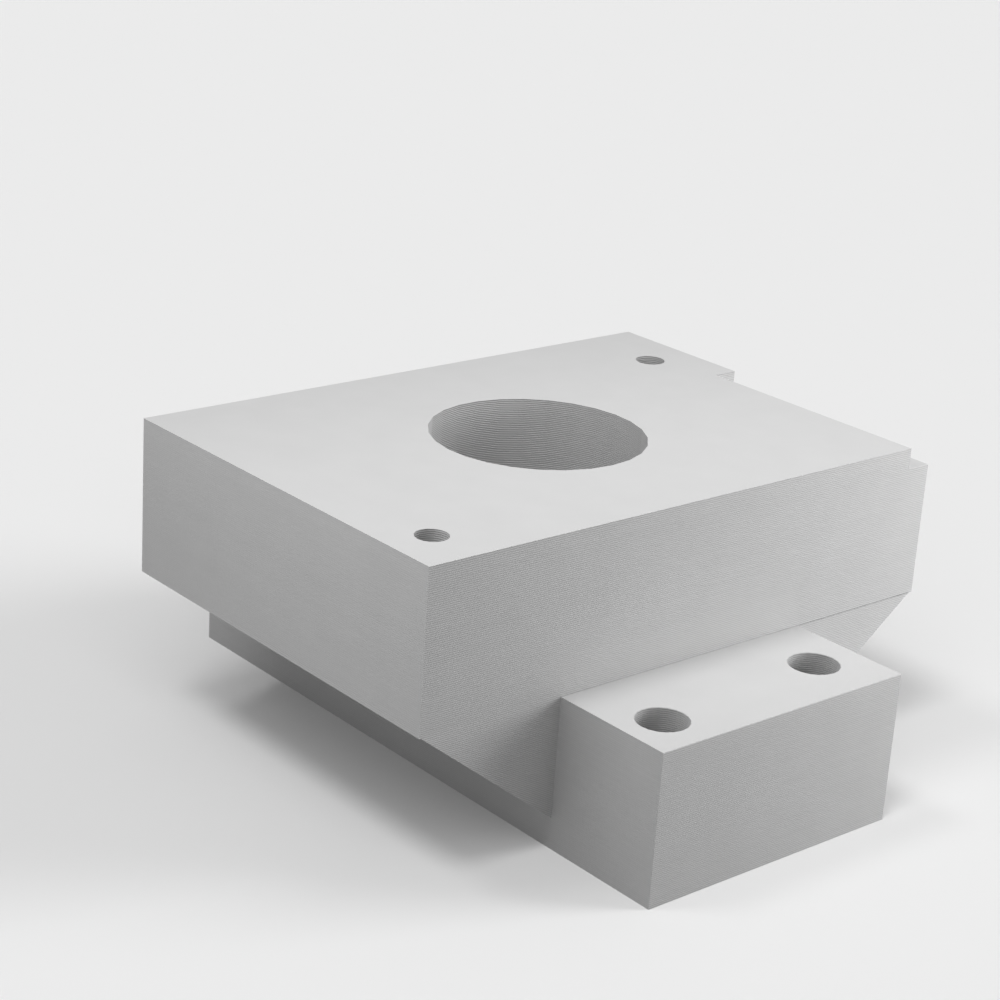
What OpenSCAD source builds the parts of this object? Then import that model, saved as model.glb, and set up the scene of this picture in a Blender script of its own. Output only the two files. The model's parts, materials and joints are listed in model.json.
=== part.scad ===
// Carburetor adapter, printed as one solid. A thick plate for the carburetor stands across a longer
// bar that bolts to the engine, and sloping braces carry the plate's two overhanging sides.
// The origin is on the main bore's axis, on the base. +X runs along the bar to its front end, +Z is up.

/* [Main bore] */
// Diameter of the bore that the fuel and air pass through
bore_d = 34; // [20:0.5:40]

/* [Carburetor plate] */
// Length of the plate, along the bar
plate_l = 70; // [62:0.1:90]
// Width of the plate, across the bar
plate_w = 100.2; // [92:0.1:120]
// Thickness of the plate above the bar
plate_t = 25; // [10:0.5:40]
// From the bore's axis to the plate's back face
plate_back = 35.2; // [30:0.1:38]
// From the bore's axis to the plate's left side
plate_left = 48.7; // [44:0.1:52]

/* [Flange bar] */
// Width of the bar
bar_w = 48.4; // [46:0.1:60]
// Height of the bar, which is also the height of the plate's underside
bar_h = 24; // [12:0.5:40]
// From the bore's axis to the bar's left side
bar_left = 23.4; // [22:0.1:25]
// Reach of the bar in front of the plate
bar_front = 21; // [18:0.1:40]
// Reach of the bar behind the plate
bar_back = 18.9; // [18:0.1:40]

/* [Braces] */
// Height on the bar's sides at which the sloping braces start
brace_foot = 4.8; // [1:0.1:10]
// How far the braces stay inside the plate's two sides, which leaves a fine lip
brace_inset = 0.35; // [0.1:0.05:1.5]
// How far the right brace stops short of the plate's front and back faces
right_brace_short = 0.1; // [0:0.05:1]

/* [Edge rebate] */
// Width of the rebate along the plate's right edge
rebate_w = 4.6; // [2:0.1:5]
// Depth of the rebate below the plate's top
rebate_depth = 3.4; // [1:0.1:8]
// From the plate's back face to the start of the rebate
rebate_start = 26.7; // [22:0.1:50]

/* [Carburetor bolt holes] */
// Diameter of the two diagonal holes, for studs cut into the plastic
carb_hole_d = 5; // [3:0.1:6]
// From the front hole's centre to the plate's front face
carb_front_end = 8.8; // [6:0.1:14]
// From the front hole's centre to the plate's left side
carb_front_side = 7.4; // [6:0.1:14]
// From the back hole's centre to the plate's back face
carb_back_end = 14.9; // [6:0.1:18]
// From the back hole's centre to the plate's right side
carb_back_side = 8.7; // [8.5:0.1:16]

/* [Flange bolt holes] */
// Diameter of the holes through the bar
bar_hole_d = 7.9; // [5:0.1:9]
// From a left hole's centre to its end of the bar
left_hole_end = 7.8; // [6:0.1:10]
// From a left hole's centre to the bar's left side
left_hole_side = 7.2; // [6:0.1:12]
// From a right hole's centre to its end of the bar
right_hole_end = 9.7; // [6:0.1:11]
// From a right hole's centre to the bar's right side
right_hole_side = 8.5; // [6:0.1:12]

/* [Hidden] */

round_faces = 120;
// How far a cut runs past the faces that it opens
past = 1;

plate_x = [-plate_back, plate_l - plate_back];
plate_y = [-plate_left, plate_w - plate_left];
plate_top = bar_h + plate_t;

bar_x = [plate_x[0] - bar_back, plate_x[1] + bar_front];
bar_y = [-bar_left, bar_w - bar_left];

// A box between a low and a high value on each axis
module block(x, y, z) {
    translate([x[0], y[0], z[0]])
        cube([x[1] - x[0], y[1] - y[0], z[1] - z[0]]);
}

// The thick plate that the carburetor sits on
module plate() {
    block(plate_x, plate_y, [bar_h, plate_top]);
}

// The bar that bolts to the engine, running out past the plate at both ends
module bar() {
    block(bar_x, bar_y, [0, bar_h]);
}

// A wedge from one side of the bar up to the plate's underside, seen along the bar as an outline
// that runs in to the bar's middle
module brace(outer_y, side_y, short) {
    outline = [[outer_y, bar_h], [side_y, brace_foot], [0, brace_foot], [0, bar_h]];
    translate([plate_x[0] + short, 0, 0])
        rotate([90, 0, 90])
            linear_extrude(plate_l - 2 * short)
                polygon(outline);
}

// The left brace is flush with the plate's front and back faces, and the right one is a little short
module braces() {
    brace(plate_y[0] + brace_inset, bar_y[0], 0);
    brace(plate_y[1] - brace_inset, bar_y[1], right_brace_short);
}

// The step cut down along the plate's right edge, open at the front face
module rebate() {
    block(
        [plate_x[0] + rebate_start, plate_x[1] + past],
        [plate_y[1] - rebate_w, plate_y[1] + past],
        [plate_top - rebate_depth, plate_top + past]
    );
}

// An upright hole through everything that stands at a place
module upright_hole(x, y, d) {
    translate([x, y, -past])
        cylinder(d = d, h = plate_top + 2 * past, $fn = round_faces);
}

// The two carburetor holes, at opposite corners of the plate
module carburetor_holes() {
    upright_hole(plate_x[1] - carb_front_end, plate_y[0] + carb_front_side, carb_hole_d);
    upright_hole(plate_x[0] + carb_back_end, plate_y[1] - carb_back_side, carb_hole_d);
}

// A left and a right hole near each end of the bar. The back pair is laid out from the back end
// as the front pair is from the front end.
module flange_holes() {
    for (side = [[bar_x[1], -1], [bar_x[0], 1]]) {
        upright_hole(side[0] + side[1] * left_hole_end, bar_y[0] + left_hole_side, bar_hole_d);
        upright_hole(side[0] + side[1] * right_hole_end, bar_y[1] - right_hole_side, bar_hole_d);
    }
}

module adapter_body() {
    color("gainsboro")
        difference() {
            union() {
                plate();
                bar();
                braces();
            }
            upright_hole(0, 0, bore_d);
            carburetor_holes();
            flange_holes();
            rebate();
        }
}

adapter_body();
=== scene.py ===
# %% [markdown]
# # A printed carburetor adapter
# The real part is one block of light grey plastic. A thick plate for the carburetor stands across
# a longer bar that bolts to the engine, and sloping braces carry the plate's overhanging sides. A
# printer builds it from the base up in level layers, so every wall is finely ridged and every top
# is flat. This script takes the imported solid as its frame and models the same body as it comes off
# the printer.

# %% Load the frame
import json
import math

import bmesh
import bpy
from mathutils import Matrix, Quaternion, Vector


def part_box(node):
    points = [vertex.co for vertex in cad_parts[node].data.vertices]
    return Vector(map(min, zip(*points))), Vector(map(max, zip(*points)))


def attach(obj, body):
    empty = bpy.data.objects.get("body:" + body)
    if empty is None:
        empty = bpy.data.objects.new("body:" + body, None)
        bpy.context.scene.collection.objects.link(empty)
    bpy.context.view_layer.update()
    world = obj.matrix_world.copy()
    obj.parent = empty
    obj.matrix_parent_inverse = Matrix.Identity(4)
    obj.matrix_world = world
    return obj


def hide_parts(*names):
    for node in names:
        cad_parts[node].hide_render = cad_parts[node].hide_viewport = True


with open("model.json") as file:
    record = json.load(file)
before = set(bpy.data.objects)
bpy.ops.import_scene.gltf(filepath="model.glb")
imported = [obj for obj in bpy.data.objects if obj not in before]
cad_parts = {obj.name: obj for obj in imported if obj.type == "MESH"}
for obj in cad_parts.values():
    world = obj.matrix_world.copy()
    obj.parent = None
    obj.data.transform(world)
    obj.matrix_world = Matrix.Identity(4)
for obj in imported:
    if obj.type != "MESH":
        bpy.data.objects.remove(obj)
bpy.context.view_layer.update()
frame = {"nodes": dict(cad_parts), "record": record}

NODE = "adapter_body"
MM = 0.001

# %% [markdown]
# ## Reading the sizes off the frame
# The body is modelled again from simple shapes, so it needs the solid's own sizes. Writing them
# out a second time would let the two drift apart. They are read from the solid's corners and from
# the mounts in its record: for instance, the bar is as wide as whatever touches the ground. Two
# places nearer than a fiftieth of a millimetre count as one.

# %% Sizes from the frame
NEAR = 0.02 * MM
corners = [vertex.co.copy() for vertex in frame["nodes"][NODE].data.vertices]
mounts = {mount["name"]: mount for mount in frame["record"]["mounts"]}


def between(low_end, value, high_end):
    """Whether a value lies between two others and isn't at either."""
    return low_end + NEAR < value < high_end - NEAR


def spread(axis, keep):
    """The lowest and highest place, along one axis, of the corners that a test keeps."""
    places = [corner[axis] for corner in corners if keep(corner)]
    return min(places), max(places)


low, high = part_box(NODE)
top = high.z
bar_x = (low.x, high.x)
bar_y = spread(1, lambda c: c.z < low.z + NEAR)
bar_top = spread(2, lambda c: c.x > high.x - NEAR)[1]
plate_x = spread(0, lambda c: c.z > top - NEAR)
plate_y = (low.y, high.y)
rebate_y = spread(1, lambda c: c.z > top - NEAR and c.x > plate_x[1] - NEAR)[1]
rebate_z = spread(2, lambda c: c.y > high.y - NEAR and c.x > plate_x[1] - NEAR)[1]
rebate_x = spread(0, lambda c: c.y > high.y - NEAR and c.z > top - NEAR)[1]
brace_foot = spread(2, lambda c: abs(c.y - bar_y[0]) < NEAR and between(low.z, c.z, bar_top))[0]
brace_y = spread(1, lambda c: abs(c.z - bar_top) < NEAR and between(plate_y[0], c.y, plate_y[1]))
left_brace_x = spread(0, lambda c: abs(c.z - brace_foot) < NEAR and c.y < 0)
right_brace_x = spread(0, lambda c: abs(c.z - brace_foot) < NEAR and c.y > 0)
print("plate", [round(v / MM, 2) for v in (*plate_x, *plate_y, bar_top, top)])
print("bar", [round(v / MM, 2) for v in (*bar_x, *bar_y, low.z, bar_top)])
print("braces", [round(v / MM, 2) for v in (*left_brace_x, *right_brace_x, *brace_y, brace_foot)])
print("rebate", [round(v / MM, 2) for v in (rebate_x, rebate_y, rebate_z)])

# %% [markdown]
# ## The solid blank
# The plate and the bar are plain blocks, and each brace is a block whose lower edge is drawn in to
# the bar's side. They could be extruded from one another face by face, but the braces stop a
# fraction of a millimetre inside the plate's outline, so separate shapes joined by a Boolean keep
# that fine lip.

# %% Blocks, joined
def rest_selection():
    """Nothing stays selected, so that the next operator acts on the new piece alone."""
    if bpy.context.object and bpy.context.object.mode != "OBJECT":
        bpy.ops.object.mode_set(mode="OBJECT")
    bpy.ops.object.select_all(action="DESELECT")


def place_applied(piece):
    """The piece's place goes into its mesh, as a CAD node's does."""
    rest_selection()
    piece.select_set(True)
    bpy.context.view_layer.objects.active = piece
    bpy.ops.object.transform_apply(location=True, rotation=True, scale=True)
    return piece


def add_block(name, x, y, z):
    """A block between a low and a high value on each axis."""
    rest_selection()
    middle = [(a + b) / 2 for a, b in (x, y, z)]
    size = [b - a for a, b in (x, y, z)]
    bpy.ops.mesh.primitive_cube_add(size=1, location=middle, scale=size)
    block = bpy.context.object
    block.name = name
    return place_applied(block)


def combine(piece, other, operation):
    """Joins the other shape to the piece, or cuts it away, and then deletes it."""
    rest_selection()
    bpy.context.view_layer.objects.active = piece
    modifier = piece.modifiers.new(operation.lower(), "BOOLEAN")
    modifier.operation = operation
    modifier.solver = "EXACT"
    modifier.object = other
    bpy.ops.object.modifier_apply(modifier=modifier.name)
    bpy.data.objects.remove(other, do_unlink=True)


def slide_edge(piece, keep, shift):
    """Moves the corners that a test keeps, in edit mode."""
    rest_selection()
    bpy.context.view_layer.objects.active = piece
    piece.select_set(True)
    bpy.ops.object.mode_set(mode="EDIT")
    bpy.ops.mesh.select_all(action="DESELECT")
    bpy.ops.object.mode_set(mode="OBJECT")
    for vertex in piece.data.vertices:
        vertex.select = keep(vertex.co)
    bpy.ops.object.mode_set(mode="EDIT")
    bpy.ops.transform.translate(value=shift)
    bpy.ops.object.mode_set(mode="OBJECT")


def add_brace(x, outer_y, side_y):
    """A wedge: a block from the bar's middle to the brace's edge, its lower edge drawn in."""
    brace = add_block("brace", x, sorted((0, outer_y)), (brace_foot, bar_top))
    slide_edge(
        brace,
        lambda c: c.z < brace_foot + NEAR and abs(c.y - outer_y) < NEAR,
        (0, side_y - outer_y, 0),
    )
    return brace


body = add_block("printed_body", plate_x, plate_y, (bar_top, top))
combine(body, add_block("bar", bar_x, bar_y, (low.z, bar_top)), "UNION")
combine(body, add_brace(left_brace_x, brace_y[0], bar_y[0]), "UNION")
combine(body, add_brace(right_brace_x, brace_y[1], bar_y[1]), "UNION")
print("blank:", len(body.data.polygons), "faces")

# %% [markdown]
# ## Drilling and the edge rebate
# The holes in the photo are not quite round. Their rims are short straight flats, because the
# drawing behind the print had them as many-sided figures: 27 flats round the main bore and fewer
# round the bolt holes. A cylinder with that many sides, cut away, gives the same flats down the
# wall. Each shape that cuts runs a little past the surface, so that no thin skin is left.

# %% Holes and rebate
PAST = 1 * MM
BORE_FLATS = 27
BOLT_FLATS = 20
STUD_FLATS = 16
# Each hole's centre and radius are kept, because its grooves are deeper than those outside.
holes = []


def drill(x, y, radius, flats):
    """Cuts an upright hole with flats, one of whose corners points along +X."""
    holes.append((Vector((x, y)), radius))
    rest_selection()
    bpy.ops.mesh.primitive_cylinder_add(
        vertices=flats,
        radius=radius,
        depth=top - low.z + 2 * PAST,
        location=(x, y, (top + low.z) / 2),
        rotation=(0, 0, -math.pi / 2),
    )
    combine(body, place_applied(bpy.context.object), "DIFFERENCE")


def hole_centres(name):
    """The centres of a two-hole pattern: its rims are the corners half a pitch circle out."""
    mount = mounts[name]
    middle = Vector(mount["pos_m"])
    radius = mount["dims"]["hole_r_mm"] * MM
    reach = mount["dims"]["pcd_mm"] * MM / 2
    rims = [
        c for c in corners
        if abs(c.z - middle.z) < NEAR and c.y < rebate_y - NEAR
        and abs((c.xy - middle.xy).length - reach) < radius + NEAR
    ]
    for side in (-1, 1):
        rim = [c for c in rims if (c.y - middle.y) * side > 0]
        yield [(min(c[axis] for c in rim) + max(c[axis] for c in rim)) / 2 for axis in (0, 1)]


bore = mounts["main_bore"]
drill(bore["pos_m"][0], bore["pos_m"][1], bore["dims"]["r_mm"] * MM, BORE_FLATS)
for name, flats in (
    ("carburetor_studs", STUD_FLATS),
    ("front_flange_bolts", BOLT_FLATS),
    ("back_flange_bolts", BOLT_FLATS),
):
    for x, y in hole_centres(name):
        drill(x, y, mounts[name]["dims"]["hole_r_mm"] * MM, flats)
        print(name, "hole at", round(x / MM, 2), round(y / MM, 2))

rebate = add_block(
    "rebate",
    (rebate_x, plate_x[1] + PAST),
    (rebate_y, plate_y[1] + PAST),
    (rebate_z, top + PAST),
)
combine(body, rebate, "DIFFERENCE")
print("drilled:", len(body.data.polygons), "faces")

# %% [markdown]
# ## The seam over the right brace
# The plate's first layer spans from the bar to the brace's tip, and a little air is caught beneath
# it. It shows as a thin dark line at the brace's two ends. A line drawn in the material would be
# flat paint when the part is seen from the side, so a real slot, a fraction of a millimetre high,
# is cut there.

# %% Seam slots
SEAM_HEIGHT = 0.1 * MM
SEAM_DEPTH = 0.15 * MM
for x in right_brace_x:
    slot = add_block(
        "seam",
        (x - SEAM_DEPTH, x + SEAM_DEPTH),
        (bar_y[1], plate_y[1] + PAST),
        (bar_top - SEAM_HEIGHT, bar_top),
    )
    combine(body, slot, "DIFFERENCE")
print("with seams:", len(body.data.polygons), "faces")

# %% [markdown]
# ## Slicing the walls into layers
# A fused-filament printer lays the body down in level layers, so each wall is a stack of rounded
# threads with a fine groove between them. A bump texture could fake that, but it would leave the
# edges and the exported mesh smooth. The walls are cut at four heights in each layer, and each
# cut's outline is then drawn in, as a slicer draws in an outline, by the depth of the groove there.
# That is 624 cuts, so they are made with bmesh's bisect, which is told what still lies above the
# last cut. In edit mode each cut would need a selection of its own. The grooves are deepest in the
# holes, where the nozzle turns tightly, and shallowest on the long side walls.

# %% Layers cut into the walls
LAYERS = 156
CUTS_IN_LAYER = 4
OUTER_GROOVE = Vector((0.06, 0.025)) * MM
HOLE_GROOVE = Vector((0.12, 0.12)) * MM
# A face is level where its normal's height is over this, and two walls are one where the product
# of their normals is over the next.
LEVEL = 0.9
SAME_WAY = 1 - 1e-4
CLEAR_OF_CUT = 1e-7
SMOOTH_BELOW = math.cos(math.radians(30))
layer = (top - low.z) / LAYERS


def groove(place):
    """How far the outline is drawn in along X and Y: nothing on a crest, most between two."""
    in_hole = any((place.xy - centre).length < radius + NEAR for centre, radius in holes)
    depth = HOLE_GROOVE if in_hole else OUTER_GROOVE
    return depth * (1 - math.cos(math.tau * (place.z - low.z) / layer)) / 2


def draw_in(walls):
    """The level step that moves a corner square to all its walls by one unit."""
    ways = []
    for wall in walls:
        way = wall.normal.xy.normalized()
        if all(way.dot(other) < SAME_WAY for other in ways):
            ways.append(way)
    if len(ways) == 1:
        return ways[0]
    ways = sorted(ways, key=lambda way: way.dot(ways[0]))
    first, last = ways[0], ways[-1]
    return (first + last) / (1 + first.dot(last))


def is_wall(face):
    """Whether a face stands up, or slopes as a brace does, and isn't a level top or underside."""
    return abs(face.normal.z) < LEVEL


def highest(part):
    """The height of a vertex, or of the highest corner of an edge or a face."""
    if isinstance(part, bmesh.types.BMVert):
        return part.co.z
    return max(vertex.co.z for vertex in part.verts)


def cut_layers(mesh):
    """Cuts the mesh level at each height, from the base up."""
    above = mesh.verts[:] + mesh.edges[:] + mesh.faces[:]
    for cut in range(LAYERS * CUTS_IN_LAYER):
        z = low.z + layer * (cut + 0.5) / CUTS_IN_LAYER
        done = bmesh.ops.bisect_plane(
            mesh, geom=above, plane_co=(0, 0, z), plane_no=(0, 0, 1)
        )
        above = [part for part in done["geom"] if highest(part) > z + CLEAR_OF_CUT]
        above += [part for part in done["geom_cut"] if isinstance(part, bmesh.types.BMVert)]
        above = list(dict.fromkeys(above))
    mesh.normal_update()


def slice_walls(piece):
    """Cuts the walls into layers and draws each cut's outline in by its groove."""
    mesh = bmesh.new()
    mesh.from_mesh(piece.data)
    cut_layers(mesh)
    steps = []
    for vertex in mesh.verts:
        walls = [face for face in vertex.link_faces if is_wall(face)]
        if walls:
            steps.append((vertex, draw_in(walls) * groove(vertex.co)))
    for edge in mesh.edges:
        one, other = edge.link_faces
        gentle = one.normal.dot(other.normal) > SMOOTH_BELOW
        edge.smooth = is_wall(one) and is_wall(other) and gentle
    for face in mesh.faces:
        face.smooth = is_wall(face)
    for vertex, step in steps:
        vertex.co.xy -= step
    mesh.to_mesh(piece.data)
    mesh.free()


slice_walls(body)
print("sliced:", len(body.data.polygons), "faces")

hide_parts(NODE)
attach(body, "root")

# %% [markdown]
# ## The plastic
# Light grey PLA, drawn into threads by a hot nozzle. It is an even, slightly waxy plastic, so it
# has a soft wide highlight and no sparkle. Its colour is painted lighter on each thread's crest, as
# painted light, and darker in the grooves between them, as painted shade, and the crests are also
# glossier; one thread comes out duller than the next, and the grey drifts over a few millimetres. A
# painted texture would need an image. Here the height counts the threads, and a random number for
# each one gives the same look at any distance.

# %% Colours and nodes
def linear(hex_colour):
    """An sRGB hex colour as the linear values that a shader takes, by the standard's curve."""
    parts = [int(hex_colour[i:i + 2], 16) / 255 for i in (1, 3, 5)]
    return [c / 12.92 if c <= 0.04045 else ((c + 0.055) / 1.055) ** 2.4 for c in parts] + [1.0]


def add_node(tree, kind, settings=None, links=None):
    """Adds a node, sets its inputs and properties, and links inputs from other nodes' outputs."""
    made = tree.nodes.new(kind)
    for key, value in (settings or {}).items():
        if isinstance(key, int) or key in made.inputs:
            made.inputs[key].default_value = value
        else:
            setattr(made, key, value)
    for key, output in (links or {}).items():
        tree.links.new(output, made.inputs[key])
    return made


def reckon(operation, *terms):
    """One step of arithmetic in the open node tree: a term is a number or a node's output."""
    numbers = {i: term for i, term in enumerate(terms) if isinstance(term, (int, float))}
    outputs = {i: term for i, term in enumerate(terms) if not isinstance(term, (int, float))}
    settings = {"operation": operation, **numbers}
    return add_node(tree, "ShaderNodeMath", settings, outputs).outputs[0]


# %% [markdown]
# ### Its values
# The tone runs from 0 in a groove to 1 on a crest. The painted shade in the grooves and painted
# light on the crests move it most, the slow drift of the grey and the difference from thread to
# thread much less. The skin is the fine unevenness of plastic that set in the air, about as coarse
# as a thread is high and a few thousandths of a millimetre deep. PLA's index of refraction is 1.46,
# and an extruded surface is half matt.

# %% Printed plastic
# The darker grey is painted shade in the grooves and the lighter grey painted light on the crests;
# the grey's own drift and the thread-to-thread difference also run between them.
PLASTIC_DARK_AND_GROOVE_SHADE = "#BABABA"
PLASTIC_LIGHT_AND_CREST_HIGHLIGHT = "#E0E0E0"
PLA_IOR = 1.46
ROUGH_GROOVE = 0.62
ROUGH_CREST = 0.5
MIDDLE_TONE = 0.5
PAINTED_SHADE_REACH = 0.32
FACING_SHADE_SHARE = 0.75
THREAD_SHARE = 0.05
DRIFT_SHARE = 0.15
DRIFT = 7 * MM
SKIN = 0.3 * MM
SKIN_DEPTH = 0.004 * MM

plastic = bpy.data.materials.new("pla_extruded_light_grey")
plastic.use_nodes = True
tree = plastic.node_tree
shader = tree.nodes["Principled BSDF"]
shader.inputs["IOR"].default_value = PLA_IOR

place = add_node(tree, "ShaderNodeTexCoord").outputs["Object"]
height = add_node(tree, "ShaderNodeSeparateXYZ", links={"Vector": place}).outputs["Z"]
normal = add_node(tree, "ShaderNodeNewGeometry").outputs["True Normal"]
facing = add_node(tree, "ShaderNodeSeparateXYZ", links={"Vector": normal}).outputs
on_wall = reckon("LESS_THAN", reckon("ABSOLUTE", facing["Z"]), LEVEL)
# The painted shade and light of the grooves are strongest on the walls that face along X and weakest
# on those that face along Y.
shade_by_facing = reckon("MULTIPLY_ADD", reckon("ABSOLUTE", facing["X"]), FACING_SHADE_SHARE, 1 - FACING_SHADE_SHARE)
# A crest lies on a whole number of layers, so half a layer more makes each groove a whole number.
count = reckon("MULTIPLY_ADD", height, 1 / layer, 0.5 - low.z / layer)
wave = reckon("COSINE", reckon("MULTIPLY", count, math.tau))
# On the walls the colour is painted darker in each groove, as painted shade, and lighter on each
# crest, as painted light.
painted_groove_shade = reckon("MULTIPLY", wave, reckon("MULTIPLY", on_wall, shade_by_facing))
flow = add_node(
    tree, "ShaderNodeTexWhiteNoise",
    {"noise_dimensions": "1D"}, {"W": reckon("FLOOR", count)},
).outputs["Value"]
drift = add_node(
    tree, "ShaderNodeTexNoise",
    {"Scale": 1 / DRIFT, "Detail": 2.0}, {"Vector": place},
).outputs[0]
tone = reckon("MULTIPLY_ADD", painted_groove_shade, -PAINTED_SHADE_REACH, MIDDLE_TONE - (THREAD_SHARE + DRIFT_SHARE) / 2)
tone = reckon("MULTIPLY_ADD", flow, THREAD_SHARE, tone)
tone = reckon("MULTIPLY_ADD", drift, DRIFT_SHARE, tone)
# The mix paints the groove shade and crest light into the colour, along with the grey's own drift.
# The mix node's colours are its inputs 6 and 7, and colour is its output 2.
grey = add_node(
    tree, "ShaderNodeMix",
    {"data_type": "RGBA", 6: linear(PLASTIC_DARK_AND_GROOVE_SHADE), 7: linear(PLASTIC_LIGHT_AND_CREST_HIGHLIGHT)}, {0: tone},
).outputs[2]
gloss = add_node(
    tree, "ShaderNodeMapRange",
    {"To Min": ROUGH_GROOVE, "To Max": ROUGH_CREST}, {"Value": tone},
).outputs[0]
skin = add_node(
    tree, "ShaderNodeTexNoise",
    {"Scale": 1 / SKIN, "Detail": 3.0}, {"Vector": place},
).outputs[0]
bump = add_node(
    tree, "ShaderNodeBump",
    {"Strength": 1.0, "Distance": SKIN_DEPTH}, {"Height": skin},
).outputs[0]
for socket, output in (("Base Color", grey), ("Roughness", gloss), ("Normal", bump)):
    tree.links.new(output, shader.inputs[socket])
body.data.materials.clear()
body.data.materials.append(plastic)
print("plastic nodes:", len(tree.nodes))

# %% [markdown]
# ## The camera
# The photo was taken from the front and a little above, with a long lens, so the walls lean in
# only slightly. The place and aim were worked out from the corners of the part in the photo, whose
# real places are known. A small roll matches the photo's tilted horizon.

# %% Camera
CAMERA_PLACE = Vector((256.01, -230.52, 163.36)) * MM
CAMERA_AIM = Vector((-0.70740, 0.61812, -0.34281))
CAMERA_ROLL = 3.835
LENS_MM = 85
SENSOR_MM = 36
NEAREST = 10 * MM

lens = bpy.data.cameras.new("camera")
lens.lens = LENS_MM
lens.sensor_width = SENSOR_MM
lens.clip_start = NEAREST
camera = bpy.data.objects.new("camera", lens)
bpy.context.scene.collection.objects.link(camera)
camera.location = CAMERA_PLACE
camera.rotation_mode = "QUATERNION"
roll = Quaternion((0, 0, 1), math.radians(CAMERA_ROLL))
camera.rotation_quaternion = CAMERA_AIM.to_track_quat("-Z", "Y") @ roll
bpy.context.scene.camera = camera
distance = (CAMERA_PLACE - (low + high) / 2).length
print("camera is", round(distance / MM), "mm from the part's middle")

# %% [markdown]
# ## The floor
# A plain pale floor that runs on past the view. Seen directly it is nearly white. What it throws
# back on the part is less than that, as from a matt board, so that the undersides stay dark: Light
# Path tells the two kinds of ray apart. The shadow falls on it either way.

# %% Floor
FLOOR_SIZE = 20
FLOOR_SEEN = "#EBEBEB"
FLOOR_BOUNCE = "#A0A0A0"

rest_selection()
bpy.ops.mesh.primitive_plane_add(size=FLOOR_SIZE, location=(0, 0, low.z))
floor = bpy.context.object
floor.name = "floor"
board = bpy.data.materials.new("matt_board_pale")
board.use_nodes = True
tree = board.node_tree
tree.nodes.clear()
path = add_node(tree, "ShaderNodeLightPath").outputs
seen = reckon("MAXIMUM", path["Is Camera Ray"], path["Is Glossy Ray"])
bounce = add_node(tree, "ShaderNodeBsdfDiffuse", {"Color": linear(FLOOR_BOUNCE)}).outputs[0]
pale = add_node(tree, "ShaderNodeBsdfDiffuse", {"Color": linear(FLOOR_SEEN)}).outputs[0]
mix = add_node(tree, "ShaderNodeMixShader", links={0: seen, 1: bounce, 2: pale}).outputs[0]
add_node(tree, "ShaderNodeOutputMaterial", links={"Surface": mix})
floor.data.materials.append(board)
print("floor nodes:", len(tree.nodes))

# %% [markdown]
# ## Light
# Five softboxes stand close to the part, one overhead and two on each side, so each wall fades
# along its length and the holes stay light inside. Close lamps would also leave a bright pool on
# the floor. So the floor has lamps of its own, far away on much the same sides, which fall evenly
# on it and cast the part's shadow, and light linking gives each lamp its own receiver. A lamp that
# spreads over a small angle gives a sharp shadow, and one that spreads widely a faint one.

# %% Sky and lamps
SKY = "#FFFFFF"
SKY_STRENGTH = 0.22
LAMP_AIM = Vector((0, 0, 20))

scene = bpy.context.scene
scene.view_settings.view_transform = "Standard"
world = scene.world or bpy.data.worlds.new("studio")
scene.world = world
world.use_nodes = True
sky = world.node_tree.nodes["Background"]
sky.inputs["Color"].default_value = linear(SKY)
sky.inputs["Strength"].default_value = SKY_STRENGTH


def only_for(name, receiver):
    """A collection that lets a lamp fall on one object alone."""
    group = bpy.data.collections.new(name)
    group.objects.link(receiver)
    return group


def add_lamp(name, kind, place, energy, receivers, **shape):
    """A lamp at a place, in millimetres, that looks at the part's middle."""
    light = bpy.data.lights.new(name, kind)
    light.energy = energy
    for key, value in shape.items():
        setattr(light, key, value)
    lamp = bpy.data.objects.new(name, light)
    scene.collection.objects.link(lamp)
    lamp.location = Vector(place) * MM
    lamp.rotation_mode = "QUATERNION"
    lamp.rotation_quaternion = (LAMP_AIM - Vector(place)).to_track_quat("-Z", "Y")
    lamp.light_linking.receiver_collection = receivers


for_body = only_for("lit_part", body)
for_floor = only_for("lit_floor", floor)
# Each softbox has its place in mm, its watts and its width in mm.
for name, place, watts, width in (
    ("overhead_softbox", (30, 52, 242), 0.297, 90),
    ("left_softbox", (10, -129, 183), 0.116, 110),
    ("low_left_softbox", (0, -150, 90), 0.014, 90),
    ("right_softbox", (180, 80, 60), 0.069, 90),
    ("low_right_softbox", (100, 120, 50), 0.059, 90),
):
    add_lamp(name, "AREA", place, watts, for_body, shape="DISK", size=width * MM)
# Each floor lamp has the place it shines from, its strength and its spread in degrees.
for name, place, strength, spread_deg in (
    ("right_floor_lamp", (134, 200, 100), 1.767, 25),
    ("front_floor_lamp", (100, -100, 150), 1.089, 60),
    ("left_floor_lamp", (28, -89, 220), 0.6, 14),
    ("back_left_floor_lamp", (-60, -89, 220), 0.36, 14),
    ("overhead_floor_lamp", (0, 1, 200), 0.297, 90),
):
    add_lamp(name, "SUN", place, strength, for_floor, angle=math.radians(spread_deg))
print("lamps:", len(bpy.data.lights))
